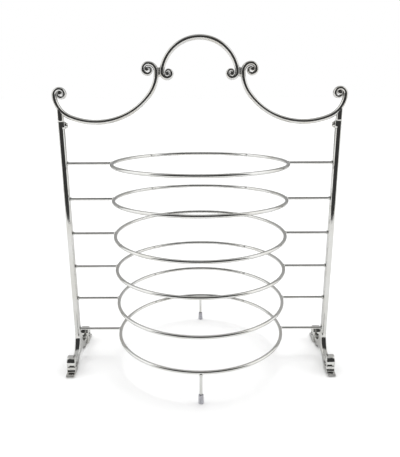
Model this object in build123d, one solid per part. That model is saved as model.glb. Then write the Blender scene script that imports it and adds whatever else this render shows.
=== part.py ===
from build123d import *
from math import asin, cos, radians, sin, sqrt
import os

# Six-tier plate stand, in millimetres.
# X runs along the width, +Y points to the rear, +Z up.
# The origin is on the table, midway between the four feet.
# Two uprights on scroll feet carry six wire rings; a scrolled handle joins the uprights' tops.
# The bottom ring is brazed in and stands on two wire legs; the other five turn on their stubs.

# ---- Rings ----
ring_radius = 100.0          # centre line of the ring's wire
ring_wire = 4.0              # wire diameter
tier_count = 6
tier_pitch = 42.0            # from one ring's axis to the next
bottom_ring_height = 38.0    # lowest ring's axis above the table
ring_tilt = {3: -1.7, 5: -3.1, 6: -1.9}   # degrees about +X; the tiers not listed lie level

# ---- Ring stubs and their bearings ----
stub_dia = 3.0
shoulder_dia = 4.6
shoulder_len = 1.4
journal_dia = 2.4
journal_len = 4.2
bearing_clearance = 0.05     # radial gap between journal and hole
bearing_depth = 4.7
shoulder_float = 0.2         # end play of each shoulder on a turning ring

# ---- Uprights ----
clear_half_width = 152.3     # from the middle to an upright's inner face
bar_width = 6.5              # along X
bar_depth = 8.0              # along Y
bar_above_top_ring = 46.9    # from the top ring's axis to the bar's top
boss_height = 8.0
boss_proud = 1.4             # how far the boss stands inside the bar's inner face
socket_dia = 4.1
socket_depth = 7.0
tenon_dia = 4.0
tenon_len = 6.0
tenon_clearance = 0.05

# ---- Scroll feet ----
foot_fillet = 22.0           # concave sweep from the bar onto the arm
arm_height = 10.0            # top of the arm above the table
arch_half_span = 20.0        # where the arm comes down to the table
arch_rise = 8.0
roll_radius = 7.5
roll_out = 37.0              # roll's axis from the middle of the foot
roll_height = 13.5           # roll's axis above the table
roll_fillet = 3.0            # concave corner between arm and roll
foot_end_width = 10.0        # width of roll and toe
toe_out = 52.0               # front of the toe from the middle of the foot
toe_height = 3.2
cove_radius = 3.6
cove_reach = 8.4             # how far the cove cuts back from the toe's front

# ---- Handle ----
strip_thickness = 5.4        # in the plane of the handle
strip_depth = 6.5            # along Y
strip_tip = 2.0              # thickness at the eye of each volute
bowl_low = -0.7              # lowest point of a side scroll's centre line above the bar's top
bowl_outer_turn = 22.0       # degrees turned on the large radius towards the upright
bowl_outer_radius = 26.0
bowl_inner_turn = 52.0       # degrees turned on the large radius towards the arch
bowl_inner_radius = 40.0
scroll_overhang = 5.35       # outer volute's widest point beyond the bar's middle
arch_radius = 42.0
arch_turn = 75.0             # degrees of the arch each side of its top
arch_end_radius = 20.0
arch_lift = -1.0             # arch's widest points above the side scrolls' innermost ones
outer_volute = (6.4, 1.1, 5)      # first quarter's radius, step, number of quarter turns
inner_volute = (6.2, 1.1, 5)
inner_volute_lead = 8.6           # one wider quarter turn before the inner volute
arch_volute = (5.9, 1.1, 5)
eye_radius = 2.4
joint_gap = 0.6              # between arch and side scroll, where the block sits
block_height = 10.0

# ---- Handle screws ----
screw_dia = 2.6
screw_clearance = 0.05
screw_head_dia = 6.2
screw_head_len = 2.3
screw_below_seam = 4.0
slot_width = 0.8
slot_depth = 0.9

# ---- Legs of the bottom ring ----
leg_dia = 3.2
cap_dia = 6.0
cap_height = 10.5
cap_bottom = 2.5             # thickness under the wire
cap_edge = 0.7

# ---- Places that follow ----
bar_middle = clear_half_width + bar_width / 2
tier_heights = {n: bottom_ring_height + (n - 1) * tier_pitch for n in range(1, tier_count + 1)}
seam_height = tier_heights[tier_count] + bar_above_top_ring
foot_top = arm_height + foot_fillet
samples_per_quarter = 4


def mirrored(shape):
    """The same piece on the other side, left to right."""
    return mirror(shape, about=Plane.YZ)


def bar_along_x(diameter, x_from, x_to, z):
    """A round bar along X between two places."""
    middle = (x_from + x_to) / 2
    return Pos(middle, 0, z) * Rot(0, 90, 0) * Cylinder(diameter / 2, abs(x_to - x_from))


# ---- Rings, stubs and legs ----
def ring(n):
    tilt = ring_tilt.get(n, 0)
    return Pos(0, 0, tier_heights[n]) * Rot(tilt, 0, 0) * Torus(ring_radius, ring_wire / 2)


def right_stub(n):
    """Stub brazed to the ring, with a shoulder and a journal that enters the upright."""
    z = tier_heights[n]
    play = shoulder_float if n > 1 else 0
    shoulder_end = clear_half_width - play
    shank = bar_along_x(stub_dia, ring_radius, shoulder_end, z) - ring(n)
    shoulder = bar_along_x(shoulder_dia, shoulder_end - shoulder_len, shoulder_end, z)
    journal = bar_along_x(journal_dia, shoulder_end, shoulder_end + journal_len, z)
    return shank + shoulder + journal


def front_leg():
    """Wire leg, coped to the underside of the bottom ring and set into its cap."""
    length = bottom_ring_height - cap_bottom
    wire = Pos(0, -ring_radius, cap_bottom + length / 2) * Cylinder(leg_dia / 2, length)
    return wire - ring(1)


def front_cap():
    blank = Pos(0, 0, cap_height / 2) * Cylinder(cap_dia / 2, cap_height)
    blank = fillet(blank.edges(), cap_edge)
    hole = Pos(0, 0, cap_bottom + cap_height / 2) * Cylinder(leg_dia / 2, cap_height)
    return Pos(0, -ring_radius, 0) * (blank - hole)


# ---- Uprights ----
def right_upright():
    """Flat bar: a bearing hole for each stub, a socket and a screw hole in the top boss, a tenon below."""
    bar_length = seam_height - foot_top
    bar = Pos(bar_middle, 0, foot_top + bar_length / 2) * Box(bar_width, bar_depth, bar_length)
    boss_place = Pos(bar_middle - boss_proud / 2, 0, seam_height - boss_height / 2)
    boss = boss_place * Box(bar_width + boss_proud, bar_depth, boss_height)
    tenon = Pos(bar_middle, 0, foot_top - tenon_len / 2) * Cylinder(tenon_dia / 2, tenon_len)
    socket = Pos(bar_middle, 0, seam_height - socket_depth / 2) * Cylinder(socket_dia / 2, socket_depth)
    screw_hole = bar_along_x(screw_dia + 2 * screw_clearance, clear_half_width - boss_proud, bar_middle,
                             seam_height - screw_below_seam)
    upright = bar + boss + tenon - socket - screw_hole
    for z in tier_heights.values():
        upright -= bar_along_x(journal_dia + 2 * bearing_clearance, clear_half_width,
                               clear_half_width + bearing_depth, z)
    return upright


# ---- Scroll feet, drawn as seen from the side: first number outwards, second number up ----
def foot_side():
    """Outline of half a foot, from its middle out to the toe."""
    roll_middle = Vector(roll_out, roll_height)
    corner_up = arm_height + roll_fillet
    to_corner = sqrt((roll_radius + roll_fillet) ** 2 - (roll_height - corner_up) ** 2)
    corner = Vector(roll_out - to_corner, corner_up)      # middle of the concave corner's arc
    towards_roll = (roll_middle - corner).normalized()
    roll_back = corner + roll_fillet * towards_roll
    corner_mid = corner + roll_fillet * (towards_roll + Vector(0, -1)).normalized()
    arm_end = (corner.X, arm_height)
    half_bar = bar_depth / 2
    sweep_out = half_bar + foot_fillet
    sweep_mid = (sweep_out - foot_fillet * cos(radians(45)), foot_top - foot_fillet * sin(radians(45)))
    under_radius = (arch_half_span ** 2 + arch_rise ** 2) / (2 * arch_rise)
    under_turn = asin(arch_half_span / under_radius) / 2
    under_mid = (under_radius * sin(under_turn), arch_rise - under_radius * (1 - cos(under_turn)))
    outline = [
        Line((0, arch_rise), (0, foot_top)),
        Line((0, foot_top), (half_bar, foot_top)),
        ThreePointArc((half_bar, foot_top), sweep_mid, (sweep_out, arm_height)),
        Line((sweep_out, arm_height), arm_end),
        ThreePointArc(arm_end, corner_mid, roll_back),
        Line(roll_back, roll_middle),
        Line(roll_middle, (roll_out, 0)),
        Line((roll_out, 0), (arch_half_span, 0)),
        ThreePointArc((arch_half_span, 0), under_mid, (0, arch_rise)),
    ]
    return make_face(outline)


def toe_side():
    """Outline of the toe: the roll, the neck under it and the flat pad."""
    neck_in = roll_out - roll_radius
    neck_out = toe_out - cove_reach
    cove_up = toe_height + cove_radius
    corner = (Align.MIN, Align.MIN)
    neck = Pos(neck_in, 0) * Rectangle(neck_out - neck_in, roll_height, align=corner)
    pad = Pos(neck_in, 0) * Rectangle(toe_out - neck_in, cove_up, align=corner)
    cove = Pos(neck_out + cove_radius, cove_up) * Circle(cove_radius)
    above_toe = Pos(neck_out + cove_radius, toe_height) * Rectangle(cove_reach, cove_up, align=corner)
    toe = neck + pad - cove - above_toe
    pad_nose = Pos(toe_out - toe_height / 2, toe_height / 2) * Circle(toe_height / 2)
    pad_end = Pos(toe_out - toe_height / 4, toe_height / 2) * Rectangle(toe_height / 2, toe_height)
    toe = toe - (pad_end - pad_nose)
    roll = Pos(roll_out, roll_height) * Circle(roll_radius)
    return toe + roll


def right_foot():
    """One casting: arch in the middle, an arm, a roll and a toe at the front and at the rear."""
    side_plane = Plane(origin=(bar_middle, 0, 0), x_dir=(0, 1, 0), z_dir=(1, 0, 0))
    arm = extrude(side_plane * foot_side(), amount=bar_width / 2, both=True)
    toe = extrude(side_plane * toe_side(), amount=foot_end_width / 2, both=True)
    half = arm + toe
    casting = half + mirror(half, about=Plane.XZ)
    mortise_place = Pos(bar_middle, 0, foot_top - tenon_len / 2)
    return casting - mortise_place * Cylinder(tenon_dia / 2 + tenon_clearance, tenon_len)


# ---- Handle: strips whose centre line is a chain of tangent arcs, in the XZ plane ----
def beside(point, heading, distance):
    """The point at a distance to the left of a line that runs through a point."""
    return (point[0] - distance * sin(radians(heading)), point[1] + distance * cos(radians(heading)))


def arc_points(start, heading, radius, turn, count):
    """Points and headings along an arc that starts at a point; a positive turn bends left."""
    side = 1 if turn > 0 else -1
    centre = beside(start, heading, side * radius)
    headings = [heading + turn * i / count for i in range(count + 1)]
    return [(beside(centre, now, -side * radius), now) for now in headings]


def quarter_radii(first, step, quarters):
    return [first - step * i for i in range(quarters)]


def chain_end(start, heading, arcs):
    """Where a chain of (radius, turn) arcs ends."""
    for radius, turn in arcs:
        start, heading = arc_points(start, heading, radius, turn, 1)[-1]
    return start, heading


def strip_arm(start, heading, arcs, radii):
    """Half a strip: arcs of full thickness, then a volute of quarter turns that thins to its eye."""
    edges = []
    first = start, heading
    bend = 1 if arcs[0][1] > 0 else -1
    for radius, turn in arcs:
        stations = arc_points(start, heading, radius, turn, 2)
        for side in (1, -1):
            edges.append(ThreePointArc(*[beside(p, h, side * strip_thickness / 2) for p, h in stations]))
        start, heading = stations[-1]
    turns = [(start, heading)]
    for radius in radii:
        turns += arc_points(*turns[-1], radius, bend * 90, samples_per_quarter)[1:]
    last = len(turns) - 1
    sides = []
    for side in (1, -1):
        line = []
        for i, (point, now) in enumerate(turns):
            thickness = strip_thickness + (strip_tip - strip_thickness) * i / last
            line.append(beside(point, now, side * thickness / 2))
        tangents = [(cos(radians(h)), sin(radians(h))) for h in (turns[0][1], turns[-1][1])]
        sides.append(Spline(*line, tangents=tangents))
    edges += sides
    edges.append(Line(sides[0] @ 1, sides[1] @ 1))
    edges.append(Line(beside(*first, strip_thickness / 2), beside(*first, -strip_thickness / 2)))
    strip = extrude(Plane.XZ * make_face(edges), amount=strip_depth / 2, both=True)
    eye = extrude(Plane.XZ * Pos(*turns[-1][0]) * Circle(eye_radius), amount=strip_depth / 2, both=True)
    return strip + eye


arch_side = arch_radius * sin(radians(arch_turn)) + arch_end_radius * (1 - sin(radians(arch_turn)))
scroll_inner = arch_side + strip_thickness + joint_gap
scroll_outer = bar_middle + scroll_overhang
bowl_ends = bowl_outer_radius * (1 - sin(radians(bowl_outer_turn)))
bowl_ends += bowl_inner_radius * (1 - sin(radians(bowl_inner_turn)))
bowl_radius = (scroll_outer - scroll_inner - bowl_ends) / (
    sin(radians(bowl_outer_turn)) + sin(radians(bowl_inner_turn)))
low_x = scroll_inner + bowl_radius * sin(radians(bowl_inner_turn)) + bowl_inner_radius * (
    1 - sin(radians(bowl_inner_turn)))
low_point = (low_x, seam_height + bowl_low)
to_arch = [(bowl_radius, -bowl_inner_turn), (bowl_inner_radius, bowl_inner_turn - 90)]
to_upright = [(bowl_radius, bowl_outer_turn), (bowl_outer_radius, 90 - bowl_outer_turn)]
joint_height = chain_end(low_point, 180, to_arch)[0][1]
arch_arcs = [(arch_radius, -arch_turn), (arch_end_radius, arch_turn - 90)]
arch_fall = arch_radius * (1 - cos(radians(arch_turn))) + arch_end_radius * cos(radians(arch_turn))
arch_top = (0, joint_height + arch_lift + arch_fall)


def handle_arch():
    half = strip_arm(arch_top, 0, arch_arcs, quarter_radii(*arch_volute))
    return half + mirrored(half)


def right_scroll():
    inner = strip_arm(low_point, 180, to_arch, [inner_volute_lead] + quarter_radii(*inner_volute))
    outer = strip_arm(low_point, 0, to_upright, quarter_radii(*outer_volute))
    return inner + outer


def right_block():
    """Small block between the arch and the side scroll, shaped to both."""
    width = scroll_inner - arch_side
    middle = joint_height + arch_lift / 2
    blank = Pos((scroll_inner + arch_side) / 2, 0, middle) * Box(width, strip_depth, block_height)
    return blank - handle_arch() - right_scroll()


def right_post():
    """Short post under the side scroll, with a spigot that drops into the upright's socket."""
    bend_start, heading = chain_end(low_point, 0, to_upright[:1])
    bend_centre = beside(bend_start, heading, bowl_outer_radius)
    top = bend_centre[1]
    blank = Pos(bar_middle, 0, (seam_height + top) / 2) * Box(bar_width, bar_depth, top - seam_height)
    bowl = Pos(bend_centre[0], 0, bend_centre[1]) * Rot(90, 0, 0) * Cylinder(
        bowl_outer_radius + strip_thickness / 2, 2 * bar_depth)
    spigot_len = socket_depth - tenon_clearance
    spigot_place = Pos(bar_middle, 0, seam_height - spigot_len / 2)
    return (blank - bowl) + spigot_place * Cylinder(socket_dia / 2 - tenon_clearance, spigot_len)


def right_screw():
    """Slotted screw through the boss; its tip bears on the spigot."""
    z = seam_height - screw_below_seam
    head_seat = clear_half_width - boss_proud
    tip = bar_middle - socket_dia / 2 + tenon_clearance
    head = bar_along_x(screw_head_dia, head_seat - screw_head_len, head_seat, z)
    head = fillet(head.edges().sort_by(Axis.X)[0], slot_depth / 2)
    slot_middle = head_seat - screw_head_len + slot_depth / 2
    slot = Pos(slot_middle, 0, z) * Box(slot_depth, screw_head_dia, slot_width)
    return head - slot + bar_along_x(screw_dia, head_seat, tip, z)


# ---- Write the pieces ----
pieces = {}
for n in tier_heights:
    pieces[f"ring_{n}"] = ring(n)
    pieces[f"stub_{n}_right"] = right_stub(n)
    pieces[f"stub_{n}_left"] = mirrored(right_stub(n))
for name, make in (("upright", right_upright), ("foot", right_foot), ("handle_scroll", right_scroll),
                   ("handle_block", right_block), ("handle_post", right_post)):
    pieces[f"{name}_right"] = make()
    pieces[f"{name}_left"] = mirrored(make())
pieces["handle_arch"] = handle_arch()
pieces["handle_screws"] = Compound(children=[right_screw(), mirrored(right_screw())])
pieces["leg_front"] = front_leg()
pieces["leg_rear"] = mirror(front_leg(), about=Plane.XZ)
pieces["leg_cap_front"] = front_cap()
pieces["leg_cap_rear"] = mirror(front_cap(), about=Plane.XZ)

os.makedirs("parts", exist_ok=True)
for name, piece in pieces.items():
    export_step(piece, f"parts/{name}.step")
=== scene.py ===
from math import asin, cos, pi, radians, sin, sqrt

import bmesh
import bpy
from mathutils import Matrix, Vector


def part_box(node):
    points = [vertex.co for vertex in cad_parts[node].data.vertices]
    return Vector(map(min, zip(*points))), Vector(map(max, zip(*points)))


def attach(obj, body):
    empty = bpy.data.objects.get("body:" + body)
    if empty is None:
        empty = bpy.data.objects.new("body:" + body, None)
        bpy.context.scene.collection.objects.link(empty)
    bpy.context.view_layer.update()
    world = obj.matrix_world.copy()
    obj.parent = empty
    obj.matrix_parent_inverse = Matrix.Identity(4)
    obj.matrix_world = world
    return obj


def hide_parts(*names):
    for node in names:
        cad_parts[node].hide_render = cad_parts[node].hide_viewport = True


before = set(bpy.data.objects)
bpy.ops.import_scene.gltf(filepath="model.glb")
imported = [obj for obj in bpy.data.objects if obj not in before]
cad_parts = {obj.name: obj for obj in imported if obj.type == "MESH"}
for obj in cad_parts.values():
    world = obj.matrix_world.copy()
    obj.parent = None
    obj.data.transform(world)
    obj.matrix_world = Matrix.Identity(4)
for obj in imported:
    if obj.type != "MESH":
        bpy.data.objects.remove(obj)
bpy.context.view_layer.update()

# A six-tier plate stand in polished silver plate. Lengths are in millimetres until a mesh is made.
MM = 0.001

# ---- Camera ----
CAMERA_PLACE = (-0.9, -568.0, 339.2)
CAMERA_PITCH = radians(16.44)      # down from the horizon
CAMERA_ROLL = radians(-0.25)
SENSOR, LENS = 36, 39.179          # sensor width and focal length in millimetres
SHIFT = (0.00109, -0.00372)        # framing, as a share of the sensor


def make_camera():
    forward = Vector((0, cos(CAMERA_PITCH), -sin(CAMERA_PITCH)))
    level = Vector((1, 0, 0))
    upright = Vector((0, sin(CAMERA_PITCH), cos(CAMERA_PITCH)))
    right = cos(CAMERA_ROLL) * level + sin(CAMERA_ROLL) * upright
    up = -sin(CAMERA_ROLL) * level + cos(CAMERA_ROLL) * upright
    data = bpy.data.cameras.new("camera")
    data.sensor_width = SENSOR
    data.lens = LENS
    data.shift_x, data.shift_y = SHIFT
    data.clip_start = 0.01
    data.clip_end = 50
    camera = bpy.data.objects.new("camera", data)
    turn = Matrix((right, up, -forward)).transposed().to_4x4()
    camera.matrix_world = Matrix.Translation(Vector(CAMERA_PLACE) * MM) @ turn
    bpy.context.scene.collection.objects.link(camera)
    bpy.context.scene.camera = camera


# ---- Materials ----
def new_material(name):
    material = bpy.data.materials.new(name)
    material.use_nodes = True
    nodes = material.node_tree.nodes
    return material, nodes, material.node_tree.links, nodes["Principled BSDF"]


def silver(name, warmth=0.0, wear=1.0):
    """Polished silver plate: faint cloudy tarnish, polishing haze and hairline scratches."""
    material, nodes, links, shader = new_material(name)
    shader.inputs["Metallic"].default_value = 1.0
    shader.inputs["Specular Tint"].default_value = (0.62, 0.62, 0.62, 1)
    place = nodes.new("ShaderNodeTexCoord")
    cloud = nodes.new("ShaderNodeTexNoise")
    cloud.inputs["Scale"].default_value = 38.0
    cloud.inputs["Detail"].default_value = 5.0
    links.new(place.outputs["Object"], cloud.inputs["Vector"])
    tone = nodes.new("ShaderNodeValToRGB")
    tone.color_ramp.elements[0].position = 0.35
    tone.color_ramp.elements[0].color = (0.60 + warmth, 0.595, 0.565 - warmth, 1)
    tone.color_ramp.elements[1].position = 0.62
    tone.color_ramp.elements[1].color = (0.66, 0.66, 0.645, 1)
    links.new(cloud.outputs["Fac"], tone.inputs["Fac"])
    links.new(tone.outputs["Color"], shader.inputs["Base Color"])
    haze = nodes.new("ShaderNodeTexNoise")
    haze.inputs["Scale"].default_value = 260.0
    haze.inputs["Detail"].default_value = 3.0
    links.new(place.outputs["Object"], haze.inputs["Vector"])
    spread = nodes.new("ShaderNodeMapRange")
    spread.inputs["From Min"].default_value = 0.3
    spread.inputs["From Max"].default_value = 0.75
    spread.inputs["To Min"].default_value = 0.06
    spread.inputs["To Max"].default_value = 0.06 + 0.09 * wear
    links.new(haze.outputs["Fac"], spread.inputs["Value"])
    links.new(spread.outputs["Result"], shader.inputs["Roughness"])
    stretch = nodes.new("ShaderNodeMapping")
    stretch.inputs["Scale"].default_value = (1.0, 1.0, 9.0)
    links.new(place.outputs["Object"], stretch.inputs["Vector"])
    hair = nodes.new("ShaderNodeTexNoise")
    hair.inputs["Scale"].default_value = 900.0
    hair.inputs["Detail"].default_value = 2.0
    links.new(stretch.outputs["Vector"], hair.inputs["Vector"])
    bump = nodes.new("ShaderNodeBump")
    bump.inputs["Strength"].default_value = 0.05 * wear
    bump.inputs["Distance"].default_value = 0.0001
    links.new(hair.outputs["Fac"], bump.inputs["Height"])
    links.new(bump.outputs["Normal"], shader.inputs["Normal"])
    return material


def cap_plastic():
    """Clouded, slightly see-through plastic with a fine moulded grain."""
    material, nodes, links, shader = new_material("cap_plastic")
    shader.inputs["Transmission Weight"].default_value = 0.25
    shader.inputs["IOR"].default_value = 1.49
    place = nodes.new("ShaderNodeTexCoord")
    cloud = nodes.new("ShaderNodeTexNoise")
    cloud.inputs["Scale"].default_value = 420.0
    links.new(place.outputs["Object"], cloud.inputs["Vector"])
    tone = nodes.new("ShaderNodeValToRGB")
    tone.color_ramp.elements[0].color = (0.52, 0.52, 0.56, 1)
    tone.color_ramp.elements[1].color = (0.66, 0.66, 0.70, 1)
    links.new(cloud.outputs["Fac"], tone.inputs["Fac"])
    links.new(tone.outputs["Color"], shader.inputs["Base Color"])
    spread = nodes.new("ShaderNodeMapRange")
    spread.inputs["To Min"].default_value = 0.28
    spread.inputs["To Max"].default_value = 0.45
    links.new(cloud.outputs["Fac"], spread.inputs["Value"])
    links.new(spread.outputs["Result"], shader.inputs["Roughness"])
    bump = nodes.new("ShaderNodeBump")
    bump.inputs["Strength"].default_value = 0.08
    bump.inputs["Distance"].default_value = 0.0002
    links.new(cloud.outputs["Fac"], bump.inputs["Height"])
    links.new(bump.outputs["Normal"], shader.inputs["Normal"])
    return material


# ---- Mesh helpers ----
SMOOTH_ANGLE = radians(38)
POINT = 0.01                       # radius that closes the end of a turned piece


def finish_piece(mesh_maker, name, material, body, slot, *stands_for):
    """Turns a bmesh in millimetres into a piece that rides on a CAD body and stands for CAD nodes."""
    bmesh.ops.recalc_face_normals(mesh_maker, faces=mesh_maker.faces)
    bmesh.ops.scale(mesh_maker, vec=(MM, MM, MM), verts=mesh_maker.verts)
    mesh = bpy.data.meshes.new(name)
    mesh_maker.to_mesh(mesh)
    mesh_maker.free()
    mesh.shade_smooth()
    mesh.set_sharp_from_angle(angle=SMOOTH_ANGLE)
    mesh.materials.append(material)
    piece = bpy.data.objects.new(name, mesh)
    bpy.context.scene.collection.objects.link(piece)
    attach(piece, body)
    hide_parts(*stands_for)
    return piece


def circle_section(radius, count):
    """Points of a circle about its middle."""
    return [(radius * cos(2 * pi * i / count), radius * sin(2 * pi * i / count)) for i in range(count)]


def rounded_section(width, depth, corner, steps=5):
    """A rectangle with round corners, as points about its middle."""
    points = []
    for quarter in range(4):
        turn = pi / 2 * quarter
        sx = 1 if quarter in (0, 3) else -1
        sy = 1 if quarter in (0, 1) else -1
        cx, cy = sx * (width / 2 - corner), sy * (depth / 2 - corner)
        for i in range(steps + 1):
            a = turn + pi / 2 * i / steps
            points.append((cx + corner * cos(a), cy + corner * sin(a)))
    return points


def skin(maker, loops, closed=False):
    """Joins loops of points with quads; open ends get a cap."""
    rows = [[maker.verts.new(p) for p in loop] for loop in loops]
    pairs = list(zip(rows, rows[1:])) + ([(rows[-1], rows[0])] if closed else [])
    for a, b in pairs:
        for i in range(len(a)):
            j = (i + 1) % len(a)
            maker.faces.new((a[i], a[j], b[j], b[i]))
    if not closed:
        maker.faces.new(rows[0][::-1])
        maker.faces.new(rows[-1])


def lathe_x(maker, profile, height, count=32):
    """Turns a profile of (x, radius) about the line along X at a height."""
    skin(maker, [[(x, u, height + v) for u, v in circle_section(r, count)] for x, r in profile])


def lathe_z(maker, profile, place, count=32):
    """Turns a profile of (z, radius) about the vertical line through (x, y)."""
    skin(maker, [[(place[0] + u, place[1] + v, z) for u, v in circle_section(r, count)] for z, r in profile])


# ---- Places taken from the CAD parts, in millimetres ----
def node_box(node):
    low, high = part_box(node)
    return low / MM, high / MM


TIERS = range(1, 7)
ring_low, ring_high = node_box("ring_1")
WIRE = ring_high.z - ring_low.z                        # wire diameter
RING = (ring_high.x - ring_low.x - WIRE) / 2           # radius of the ring's centre line
bar_low, bar_high = node_box("upright_right")
BAR_TOP = bar_high.z
BAR_OUT = bar_high.x
foot_low, foot_high = node_box("foot_right")
BAR_MID = (foot_low.x + foot_high.x) / 2
BAR_WIDTH = 2 * (BAR_OUT - BAR_MID)
BAR_IN = BAR_OUT - BAR_WIDTH
BAR_DEPTH = bar_high.y - bar_low.y
scroll_low, scroll_high = node_box("handle_scroll_right")
STRIP_DEPTH = scroll_high.y - scroll_low.y
arch_high = node_box("handle_arch")[1]
cap_low, cap_high = node_box("leg_cap_front")


def tier_of(n):
    """Height of a ring's axis and its lean, front side up."""
    low, high = node_box(f"ring_{n}")
    lean = asin(max(0.0, (high.z - low.z - WIRE) / (2 * RING)))
    return (low.z + high.z) / 2, lean


BODY = {n: "stand" if n == 1 else f"tier_{n}" for n in TIERS}

silver_frame = silver("silver_frame")
silver_handle = silver("silver_handle", warmth=0.01)
silver_wire = silver("silver_wire", wear=0.8)
silver_screw = silver("silver_screw", warmth=0.02, wear=1.4)
plastic = cap_plastic()


# ---- Rings ----
SEAMS = (radians(51.5), radians(130))        # butt joints of the wire, at the back on both sides
SEAM_STEP = 0.45                             # along the wire, between the sections of a seam
SEAM_CUT = 0.3                               # depth of the groove
RING_STEP = 2                                # degrees between the wire's sections
NEAR_SEAM = 1.0                              # degrees round a seam that hold no other section


def make_ring(n):
    height, lean = tier_of(n)
    maker = bmesh.new()
    stations = []
    for at in SEAMS:
        for step, share in ((-2, 0.0), (-1, 0.4), (0, 1.0), (1, 0.4), (2, 0.0)):
            stations.append((at + step * SEAM_STEP / RING, WIRE / 2 - share * SEAM_CUT))
    for turn in range(0, 360, RING_STEP):
        if all(abs(radians(turn) - at) > radians(NEAR_SEAM) for at in SEAMS):
            stations.append((radians(turn), WIRE / 2))
    stations.sort()
    loops = []
    for angle, radius in stations:
        out = Vector((cos(angle), sin(angle), 0))
        loops.append([out * (RING + u) + Vector((0, 0, v)) for u, v in circle_section(radius, 24)])
    skin(maker, loops, closed=True)
    tip = Matrix.Translation((0, 0, height)) @ Matrix.Rotation(-lean, 4, "X")
    bmesh.ops.transform(maker, matrix=tip, verts=maker.verts)
    finish_piece(maker, f"wire_ring_{n}", silver_wire, BODY[n], "silver_wire", f"ring_{n}")


# ---- Stubs: braze fillet at the ring, shank, shoulder against the upright ----
STUB = 1.5                         # radius of the shank
JOURNAL, JOURNAL_LEN = 1.2, 4.2    # radius and length of the part inside the upright
SHOULDER_LEN = 1.4
SHOULDER_ROUND = 0.45
BRAZE_OUT, BRAZE_HIGH = 1.3, 0.75  # reach along the stub and rise above it


def make_stub(n, side, label):
    height = tier_of(n)[0]
    low, high = node_box(f"stub_{n}_{label}")
    end = max(abs(low.x), abs(high.x))
    shoulder = (high.z - low.z) / 2
    seat = end - JOURNAL_LEN                             # the shoulder's face against the upright
    profile = [(RING, STUB + 0.1)]
    for i in range(7):                                   # braze fillet
        turn = pi / 2 * i / 6
        x = RING + WIRE / 2 - 0.35 + BRAZE_OUT * sin(turn)
        profile.append((x, STUB + BRAZE_HIGH * (1 - sin(turn)) ** 1.4))
    profile += [(seat - 2.2, STUB), (seat - 1.9, STUB + 0.12), (seat - 1.5, STUB + 0.35)]
    for i in range(5):                                   # round edge of the shoulder
        turn = pi / 2 * i / 4
        x = seat - SHOULDER_LEN + SHOULDER_ROUND * (1 - cos(turn))
        profile.append((x, shoulder - SHOULDER_ROUND * (1 - sin(turn))))
    profile += [(seat - 0.25, shoulder), (seat, shoulder - 0.25)]
    profile += [(seat, JOURNAL), (end - 0.2, JOURNAL), (end, JOURNAL - 0.2)]
    maker = bmesh.new()
    lathe_x(maker, [(side * x, r) for x, r in profile], height)
    finish_piece(maker, f"wire_stub_{n}_{label}", silver_wire, BODY[n], "silver_wire", f"stub_{n}_{label}")


# ---- Legs of the bottom ring ----
LEG = 1.6                          # radius of the wire
COLLAR_HIGH, COLLAR_OUT = 2.8, 0.95
CAP_FLOOR = 2.5                    # plastic under the wire's end
CAP_TAPER = 0.12
CAP_LOW_ROUND, CAP_TOP_ROUND = 0.8, 0.5


def make_leg(place, label):
    """Wire leg with a braze collar under the ring."""
    under = tier_of(1)[0] - WIRE / 2
    profile = [(CAP_FLOOR + 0.1, LEG - 0.2), (CAP_FLOOR + 0.5, LEG), (under - 3.0, LEG)]
    for i in range(8):
        turn = pi / 2 * i / 7
        profile.append((under - 2.6 + COLLAR_HIGH * (1 - cos(turn)), LEG + COLLAR_OUT * sin(turn) ** 1.5))
    profile.append((under + 1.2, LEG + 0.4))
    maker = bmesh.new()
    lathe_z(maker, profile, place)
    finish_piece(maker, f"wire_leg_{label}", silver_wire, "stand", "silver_wire", f"leg_{label}")


def make_cap(place, label):
    """Plastic cap: hollowed sole, round edges, slight taper and a bore for the wire."""
    radius = (cap_high.x - cap_low.x) / 2
    top = cap_high.z
    profile = [(0.25, POINT), (0.25, radius - 1.6), (0.0, radius - 1.3)]
    for i in range(5):
        turn = pi / 2 * i / 4
        profile.append((CAP_LOW_ROUND * (1 - cos(turn)), radius - CAP_LOW_ROUND * (1 - sin(turn))))
    profile += [(top * 0.35, radius - 0.05), (top * 0.7, radius - CAP_TAPER)]
    for i in range(5):
        turn = pi / 2 * i / 4
        z = top - CAP_TOP_ROUND * (1 - sin(turn))
        profile.append((z, radius - CAP_TAPER - CAP_TOP_ROUND * (1 - cos(turn))))
    profile += [(top - 0.1, LEG + 0.35), (top - 0.6, LEG + 0.05), (CAP_FLOOR, LEG + 0.05), (CAP_FLOOR, POINT)]
    maker = bmesh.new()
    lathe_z(maker, profile, place)
    finish_piece(maker, f"end_cap_{label}", plastic, "stand", "cap_plastic", f"leg_cap_{label}")


# ---- Uprights ----
def rounded_bar(maker, x_low, x_high, depth, z_low, z_high, corner, ease=0.35):
    """A vertical bar with round long edges and eased ends."""
    loops = []
    for z, inset in ((z_low, ease), (z_low + ease * 0.4, ease * 0.3), (z_low + ease, 0),
                     (z_high - ease, 0), (z_high - ease * 0.4, ease * 0.3), (z_high, ease)):
        section = rounded_section(x_high - x_low - 2 * inset, depth - 2 * inset, corner - inset * 0.6)
        loops.append([((x_low + x_high) / 2 + u, v, z) for u, v in section])
    skin(maker, loops)


FOOT_TOP = 32.0
BAR_ROUND = 2.2                    # round long edges of uprights and posts
BOSS_HEIGHT, BOSS_PROUD = 8.0, 1.4


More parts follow.
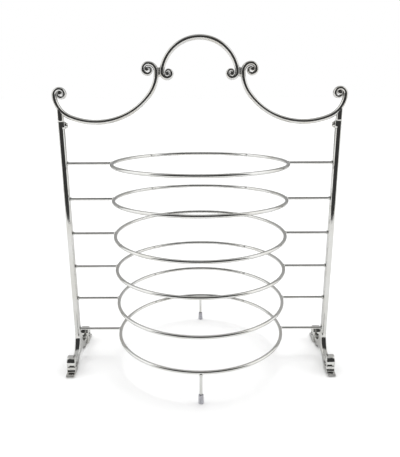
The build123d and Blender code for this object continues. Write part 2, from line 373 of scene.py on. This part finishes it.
def make_upright(side, label):
    maker = bmesh.new()
    inner, outer = sorted((side * BAR_IN, side * BAR_OUT))
    rounded_bar(maker, inner, outer, BAR_DEPTH, FOOT_TOP - 0.2, BAR_TOP, BAR_ROUND, 0.3)
    boss_in, boss_out = sorted((side * (BAR_IN - BOSS_PROUD), side * (BAR_OUT - 1)))
    rounded_bar(maker, boss_in, boss_out, BAR_DEPTH - 0.5, BAR_TOP - BOSS_HEIGHT, BAR_TOP - 0.05, 1.1, 0.5)
    finish_piece(maker, f"bar_{label}", silver_frame, "stand", "silver_frame", f"upright_{label}")


# ---- Feet ----
def offset_outline(points, inset):
    """Moves a closed outline inwards."""
    count = len(points)
    area = sum(points[i][0] * points[(i + 1) % count][1] - points[(i + 1) % count][0] * points[i][1]
               for i in range(count))
    turn = 1 if area > 0 else -1
    moved = []
    for i in range(count):
        a, b, c = (Vector(points[j % count]) for j in (i - 1, i, i + 1))
        first, second = (b - a).normalized(), (c - b).normalized()
        normal = Vector((-(first.y + second.y), first.x + second.x)) * turn
        normal.normalize()
        edge = Vector((-first.y, first.x)) * turn
        reach = inset / max(normal.dot(edge), 0.6)
        moved.append(tuple(b + normal * reach))
    return moved


def rounded_prism(maker, outline, middle, width, edge, steps=5):
    """An outline in (y, z), spread along x, with round edges on both sides."""
    layers = [(-width / 2 + edge * (1 - sin(pi / 2 * i / steps)), edge * (1 - cos(pi / 2 * i / steps)))
              for i in range(steps, -1, -1)]
    layers += [(-x, inset) for x, inset in reversed(layers)]
    skin(maker, [[(middle + x, y, z) for y, z in offset_outline(outline, inset)] for x, inset in layers])


def arc(centre, radius, start, end, count):
    """Points on an arc, angles in degrees."""
    return [(centre[0] + radius * cos(radians(start + (end - start) * i / count)),
             centre[1] + radius * sin(radians(start + (end - start) * i / count))) for i in range(count + 1)]


ROLL = 7.5
ROLL_OUT, ROLL_UP = 37.0, 13.5
ARM_TOP = 10.0
TOE_OUT, TOE_TOP, COVE, COVE_REACH = 52.0, 3.2, 3.6, 8.4
SWEEP = 22.0                       # concave sweep from the bar onto the arm
CORNER = 3.0                       # concave corner between arm and roll
ARCH_HALF, ARCH_RISE = 20.0, 8.0
FOOT_END = 10.0                    # width of roll and toe
ABOVE_TABLE = 0.15                 # the arm's underside, so that the toes alone touch the table


def degrees_of(out, up):
    return asin(up / sqrt(out * out + up * up)) * 180 / pi


def foot_outline():
    """The arm seen from the side: down from the bar, out to the roll, back along the table and the arch."""
    half_bar = BAR_DEPTH / 2
    corner_up = ARM_TOP + CORNER
    corner_out = ROLL_OUT - sqrt((ROLL + CORNER) ** 2 - (ROLL_UP - corner_up) ** 2)
    half = [(half_bar, FOOT_TOP)]
    half += arc((half_bar + SWEEP, FOOT_TOP), SWEEP, 180, 270, 14)
    to_roll = degrees_of(ROLL_OUT - corner_out, ROLL_UP - corner_up)
    half += arc((corner_out, corner_up), CORNER, 270, 360 + to_roll, 8)[:-1]
    half += [(ROLL_OUT - 3, ROLL_UP), (ROLL_OUT + 1, ROLL_UP - ROLL)]
    half += [(ROLL_OUT + 1, ABOVE_TABLE), (ARCH_HALF, ABOVE_TABLE)]
    under = (ARCH_HALF ** 2 + ARCH_RISE ** 2) / (2 * ARCH_RISE)
    turn = asin(ARCH_HALF / under)
    for i in range(9, 0, -1):
        half.append((under * sin(turn * i / 10), ARCH_RISE - under * (1 - cos(turn * i / 10))))
    mirrored = [(-y, z) for y, z in reversed(half)]
    return half[1:] + [(0, ARCH_RISE)] + mirrored[:-1]


def toe_outline(front):
    """Neck, cove and pad under the roll."""
    cove_middle = (TOE_OUT - COVE_REACH + COVE, TOE_TOP + COVE)
    inner = ROLL_OUT - ROLL + 0.4
    points = [(inner, 0)]
    points += arc((TOE_OUT - TOE_TOP / 2, TOE_TOP / 2), TOE_TOP / 2, -88, 88, 9)
    points += arc(cove_middle, COVE, 270, 180, 10)
    points += [(cove_middle[0] - COVE, ROLL_UP - 4.5), (ROLL_OUT, ROLL_UP), (inner, ROLL_UP - 1)]
    return [(-y if front else y, z) for y, z in points]


GROOVE_DEPTH, GROOVE_HALF = 0.75, 0.62
GROOVE_TURNS, GROOVE_PITCH = 1.6, 2.35
ROLL_EYE = 1.7                     # radius of the flat button at the roll's middle
ROLL_EDGE = 0.9                    # round edge of the roll


def roll_drop(radius, turn):
    """How far a point of the roll's side face lies under its highest plane."""
    drop = 0.0
    for k in range(3):                                   # the spiral passes each direction up to twice
        wound = turn / (2 * pi) + k
        line = ROLL_EYE + 0.55 + GROOVE_PITCH * wound
        if wound < GROOVE_TURNS:
            drop = max(drop, GROOVE_DEPTH * max(0.0, 1 - ((radius - line) / GROOVE_HALF) ** 2))
    if radius < ROLL_EYE:
        drop = -0.25 * (1 - (radius / ROLL_EYE) ** 2)
    if radius > ROLL_EYE:
        drop *= min(1.0, (ROLL - radius) / 0.8)
    bend = max(0.0, radius - (ROLL - ROLL_EDGE)) / ROLL_EDGE
    return drop + ROLL_EDGE * (1 - sqrt(max(0.0, 1 - bend * bend)))


def make_roll(maker, middle, out, width):
    """The roll: round edges and a spiral groove that winds to an eye on both side faces."""
    around, rings_out = 56, 26
    rims = []
    for side in (1, -1):
        rows = []
        for j in range(rings_out + 1):
            radius = ROLL * j / rings_out
            row = []
            for i in range(around if j else 1):
                turn = 2 * pi * i / around
                place = turn if out > 0 else pi - turn
                x = middle + side * (width / 2 - roll_drop(radius, turn))
                row.append(maker.verts.new((x, out + radius * cos(place), ROLL_UP + radius * sin(place))))
            rows.append(row)
        rims.append(rows[-1])
        for i in range(around):
            maker.faces.new((rows[0][0], rows[1][i], rows[1][(i + 1) % around]))
        for a, b in zip(rows[1:], rows[2:]):
            for i in range(around):
                k = (i + 1) % around
                maker.faces.new((a[i], b[i], b[k], a[k]))
    for i in range(around):
        k = (i + 1) % around
        maker.faces.new((rims[0][i], rims[1][i], rims[1][k], rims[0][k]))


def make_foot(side, label):
    maker = bmesh.new()
    middle = side * BAR_MID
    rounded_prism(maker, foot_outline(), middle, BAR_WIDTH, 1.1)
    for front in (True, False):
        rounded_prism(maker, toe_outline(front), middle, FOOT_END, 0.7)
        make_roll(maker, middle, -ROLL_OUT if front else ROLL_OUT, FOOT_END)
    finish_piece(maker, f"scroll_foot_{label}", silver_frame, "stand", "silver_frame", f"foot_{label}")


# ---- Handle ----
THICK = 5.4                        # of a strip, in the plane of the handle
TIP = 2.0                          # of a strip at the eye
STRIP_ROUND = 2.65
EYE = 2.4
ARCH_RADIUS, ARCH_TURN, ARCH_END = 42.0, 75.0, 20.0
BOWL_LOW = -0.7                    # the bowl's lowest point, above the bar's top
BOWL_OUT_TURN, BOWL_OUT = 22.0, 26.0
BOWL_IN_TURN, BOWL_IN = 52.0, 40.0
GAP = 0.6                          # between arch and side scroll
OVERHANG = 5.35                    # of the outer volute, past the bar's middle
VOLUTE_OUT = [6.4 - 1.1 * i for i in range(5)]         # radii of the quarter turns
VOLUTE_IN = [8.6] + [6.2 - 1.1 * i for i in range(5)]
VOLUTE_ARCH = [5.9 - 1.1 * i for i in range(5)]


def beside(point, heading, distance):
    """The point at a distance to the left of a line that runs through a point."""
    return (point[0] - distance * sin(radians(heading)), point[1] + distance * cos(radians(heading)))


def along(start, heading, radius, turn, count):
    """Places and headings along an arc; a positive turn bends left."""
    side = 1 if turn > 0 else -1
    centre = beside(start, heading, side * radius)
    headings = [heading + turn * i / count for i in range(count + 1)]
    return [(beside(centre, now, -side * radius), now) for now in headings]


def strip_loops(start, heading, arcs, radii, flip=1):
    """Sections of half a strip: full thickness along the arcs, then a volute that thins to its eye."""
    bend = 1 if arcs[0][1] > 0 else -1
    run = [(start, heading)]
    for radius, turn in arcs:
        run += along(*run[-1], radius, turn, max(6, int(abs(turn) / 2.5)))[1:]
    sizes = [THICK] * len(run)
    coil = [run[-1]]
    for radius in radii:
        coil += along(*coil[-1], radius, bend * 90, 10)[1:]
    coil = smoothed(coil)
    run += coil[1:]
    sizes += [THICK + (TIP - THICK) * i / (len(coil) - 1) for i in range(1, len(coil))]
    loops = []
    for (place, now), thick in zip(run, sizes):
        section = rounded_section(STRIP_DEPTH, thick, min(thick * 0.49, STRIP_ROUND))
        edges = [(beside(place, now, flip * u), v) for v, u in section]
        loops.append([(x, v, z) for (x, z), v in edges])
    return loops, run[-1][0]


def smoothed(coil):
    """Evens out the steps in curvature between quarter turns."""
    places = [Vector(p) for p, h in coil]
    for _ in range(3):
        places = [places[0], places[1]] + [(places[i - 1] + 2 * places[i] + places[i + 1]) / 4
                                           for i in range(2, len(places) - 1)] + [places[-1]]
    return [(tuple(p), h) for p, (_, h) in zip(places, coil)]


def add_eye(maker, place):
    """Round eye at the heart of a volute, domed at the front and the rear."""
    half = STRIP_DEPTH / 2
    dome = ((0.0, POINT), (0.03, EYE * 0.5), (0.12, EYE * 0.8), (0.5, EYE))
    profile = [(-half + drop, r) for drop, r in dome] + [(half - drop, r) for drop, r in dome[::-1]]
    skin(maker, [[(place[0] + u, y, place[1] + v) for u, v in circle_section(r, 20)] for y, r in profile])


def mirror_loops(loops):
    return [[(-x, y, z) for x, y, z in loop] for loop in loops]


# Where the arch and the side scrolls begin, worked out from how their arcs meet.
arch_share, out_share, in_share = (sin(radians(turn)) for turn in (ARCH_TURN, BOWL_OUT_TURN, BOWL_IN_TURN))
arch_side = ARCH_RADIUS * arch_share + ARCH_END * (1 - arch_share)
arch_top = (0.0, arch_high.z - THICK / 2)
scroll_inner = arch_side + THICK + GAP
scroll_outer = BAR_MID + OVERHANG
bowl_ends = BOWL_OUT * (1 - out_share) + BOWL_IN * (1 - in_share)
BOWL = (scroll_outer - scroll_inner - bowl_ends) / (out_share + in_share)
LOW = (scroll_inner + BOWL * in_share + BOWL_IN * (1 - in_share), BAR_TOP + BOWL_LOW)
TO_ARCH = [(BOWL, -BOWL_IN_TURN), (BOWL_IN, BOWL_IN_TURN - 90)]
TO_UPRIGHT = [(BOWL, BOWL_OUT_TURN), (BOWL_OUT, 90 - BOWL_OUT_TURN)]


def make_arch():
    arcs = [(ARCH_RADIUS, -ARCH_TURN), (ARCH_END, ARCH_TURN - 90)]
    loops, eye = strip_loops(arch_top, 0, arcs, VOLUTE_ARCH)
    maker = bmesh.new()
    skin(maker, mirror_loops(loops)[::-1] + loops[1:])
    for sign in (1, -1):
        add_eye(maker, (sign * eye[0], eye[1]))
    finish_piece(maker, "scroll_arch", silver_handle, "stand", "silver_handle", "handle_arch")


def make_scroll(side, label):
    inner, inner_eye = strip_loops(LOW, 180, TO_ARCH, VOLUTE_IN, -1)
    outer, outer_eye = strip_loops(LOW, 0, TO_UPRIGHT, VOLUTE_OUT)
    loops = inner[::-1] + outer[1:]
    maker = bmesh.new()
    skin(maker, loops if side == 1 else mirror_loops(loops))
    for eye in (inner_eye, outer_eye):
        add_eye(maker, (side * eye[0], eye[1]))
    node = f"handle_scroll_{label}"
    finish_piece(maker, f"side_scroll_{label}", silver_handle, "stand", "silver_handle", node)


def make_block(label):
    low, high = node_box(f"handle_block_{label}")
    maker = bmesh.new()
    rounded_bar(maker, low.x + 0.2, high.x - 0.2, STRIP_DEPTH - 0.6, low.z, high.z, 1.5, 0.8)
    node = f"handle_block_{label}"
    finish_piece(maker, f"spacer_block_{label}", silver_handle, "stand", "silver_handle", node)


POST_UNDER = 0.6                   # how far the post's top reaches into the strip's rim


def make_post(side, label):
    """Short post: eased foot on the seam, then up to the round underside of the strip."""
    bend, heading = along(LOW, 0, BOWL, BOWL_OUT_TURN, 1)[-1]
    centre = beside(bend, heading, BOWL_OUT)
    reach = BOWL_OUT + POST_UNDER
    loops = []
    for lift, inset in ((0.05, 0.35), (0.2, 0.1), (0.45, 0.0)):
        section = rounded_section(BAR_WIDTH - 2 * inset, BAR_DEPTH - 2 * inset, BAR_ROUND - inset * 0.5)
        loops.append([(side * BAR_MID + u, v, BAR_TOP + lift) for u, v in section])
    foot = loops[-1]
    top = []
    for x, y, z in foot:
        drop = sqrt(max(0.0, reach ** 2 - (abs(x) - centre[0]) ** 2))
        top.append((x, y * (STRIP_DEPTH - 0.2) / BAR_DEPTH, centre[1] - drop))
    for narrowing, rise in ((0.0, 0.25), (0.5, 0.7)):
        pairs = zip(foot, top)
        loops.append([(x, y + (yt - y) * narrowing, z + (zt - z) * rise) for (x, y, z), (_, yt, zt) in pairs])
    maker = bmesh.new()
    skin(maker, loops + [top])
    node = f"handle_post_{label}"
    finish_piece(maker, f"short_post_{label}", silver_handle, "stand", "silver_handle", node)


SCREW = 1.3                        # radius of the shank
HEAD_SIDE, HEAD_DOME = 1.2, 1.1    # straight and domed part of the head, along X
SLOT_HALF, SLOT_DEEP = 0.55, 0.9


def make_screws():
    """Domed screw heads with a screwdriver slot, on both bosses."""
    low, high = node_box("handle_screws")
    height = (low.z + high.z) / 2
    head = (high.z - low.z) / 2
    seat = BAR_IN - BOSS_PROUD
    profile = [(seat + 6, SCREW), (seat, SCREW), (seat, head - 0.15), (seat - 0.2, head)]
    profile.append((seat - HEAD_SIDE, head))
    for i in range(1, 6):
        turn = pi / 2 * i / 5
        profile.append((seat - HEAD_SIDE - HEAD_DOME * sin(turn), head - 0.9 * (1 - cos(turn))))
    profile += [(seat - 2.35, head * 0.45), (seat - 2.4, POINT)]
    maker = bmesh.new()
    for side in (1, -1):
        start = len(maker.verts)
        lathe_x(maker, [(side * x, r) for x, r in profile], height, 40)
        maker.verts.ensure_lookup_table()
        for vert in maker.verts[start:]:
            if abs(vert.co.x) < seat - 2.0 and abs(vert.co.z - height) < SLOT_HALF:
                vert.co.x += side * SLOT_DEEP
    finish_piece(maker, "slotted_screws", silver_screw, "stand", "silver_screw", "handle_screws")


# ---- All pieces ----
SIDES = ((1, "right"), (-1, "left"))
for n in TIERS:
    make_ring(n)
    for side, label in SIDES:
        make_stub(n, side, label)
for side, label in SIDES:
    make_upright(side, label)
    make_foot(side, label)
    make_scroll(side, label)
    make_block(label)
    make_post(side, label)
make_arch()
make_screws()
for y, label in ((-RING, "front"), (RING, "rear")):
    make_leg((0, y), label)
    make_cap((0, y), label)


# ---- Studio, in metres ----
FLOOR_FRONT, FLOOR_REAR, FLOOR_HALF = -0.83, 9, 6


def make_floor():
    """White table whose front edge is mirrored in the uprights."""
    maker = bmesh.new()
    half = FLOOR_HALF
    corners = [(-half, FLOOR_FRONT), (half, FLOOR_FRONT), (half, FLOOR_REAR), (-half, FLOOR_REAR)]
    maker.faces.new([maker.verts.new((x, y, 0)) for x, y in corners])
    mesh = bpy.data.meshes.new("floor")
    maker.to_mesh(mesh)
    maker.free()
    floor = bpy.data.objects.new("floor", mesh)
    bpy.context.scene.collection.objects.link(floor)
    material, *_, shader = new_material("floor_paper")
    shader.inputs["Base Color"].default_value = (0.93, 0.93, 0.93, 1)
    shader.inputs["Roughness"].default_value = 0.9
    shader.inputs["Specular IOR Level"].default_value = 0.0
    mesh.materials.append(material)


BACK_LIGHT, SIDE_LIGHT, ROOM_LIGHT = 0.62, 1.45, 0.055     # strengths of the three parts of the room


def make_world():
    """Grey back and ceiling, bright sides and the dark room in front; the camera itself sees white."""
    world = bpy.data.worlds.new("studio")
    bpy.context.scene.world = world
    world.use_nodes = True
    nodes, links = world.node_tree.nodes, world.node_tree.links
    background = nodes["Background"]
    place = nodes.new("ShaderNodeTexCoord")
    split = nodes.new("ShaderNodeSeparateXYZ")
    links.new(place.outputs["Generated"], split.inputs["Vector"])

    def math(operation, a, b=None):
        node = nodes.new("ShaderNodeMath")
        node.operation = operation
        for slot, value in zip(node.inputs, (a, b)):
            if value is None:
                continue
            if isinstance(value, (int, float)):
                slot.default_value = value
            else:
                links.new(value, slot)
        return node.outputs[0]

    def step(value, low, high):
        node = nodes.new("ShaderNodeMapRange")
        node.interpolation_type = "SMOOTHSTEP"
        node.inputs["From Min"].default_value = low
        node.inputs["From Max"].default_value = high
        links.new(value, node.inputs["Value"])
        return node.outputs["Result"]

    x, y, z = split.outputs
    front = math("MULTIPLY", y, -1)
    flat_length = math("SQRT", math("ADD", math("MULTIPLY", x, x), math("MULTIPLY", y, y)))
    ahead = math("DIVIDE", front, math("MAXIMUM", flat_length, 0.001))
    in_front = step(ahead, 0.40, 0.50)                  # within about 64 degrees of straight ahead
    low_enough = math("SUBTRACT", 1, step(z, 0.90, 0.97))
    dark = math("MULTIPLY", in_front, low_enough)
    beside_it = math("MULTIPLY", step(ahead, -0.55, -0.35), math("SUBTRACT", 1, step(z, 0.75, 0.92)))
    around = math("ADD", BACK_LIGHT, math("MULTIPLY", beside_it, SIDE_LIGHT - BACK_LIGHT))
    lit = math("MULTIPLY", math("SUBTRACT", 1, dark), around)
    studio = math("ADD", lit, math("MULTIPLY", dark, ROOM_LIGHT))
    path = nodes.new("ShaderNodeLightPath")
    seen = path.outputs["Is Camera Ray"]
    strength = math("ADD", math("MULTIPLY", math("SUBTRACT", 1, seen), studio), seen)
    links.new(strength, background.inputs["Strength"])
    background.inputs["Color"].default_value = (1, 1, 1, 1)


def make_sun(name, strength, width, tilt):
    """Daylight of one width; it lights the floor evenly and isn't mirrored in the silver."""
    data = bpy.data.lights.new(name, "SUN")
    data.energy = strength
    data.angle = radians(width)
    light = bpy.data.objects.new(name, data)
    light.rotation_euler = [radians(t) for t in tilt]
    light.visible_glossy = False
    bpy.context.scene.collection.objects.link(light)


make_camera()
make_floor()
make_world()
make_sun("overhead_soft", 1.6, 120, (0, 0, 0))
make_sun("overhead_key", 0.40, 9, (-4, 3, 0))
bpy.context.scene.view_settings.view_transform = "Standard"
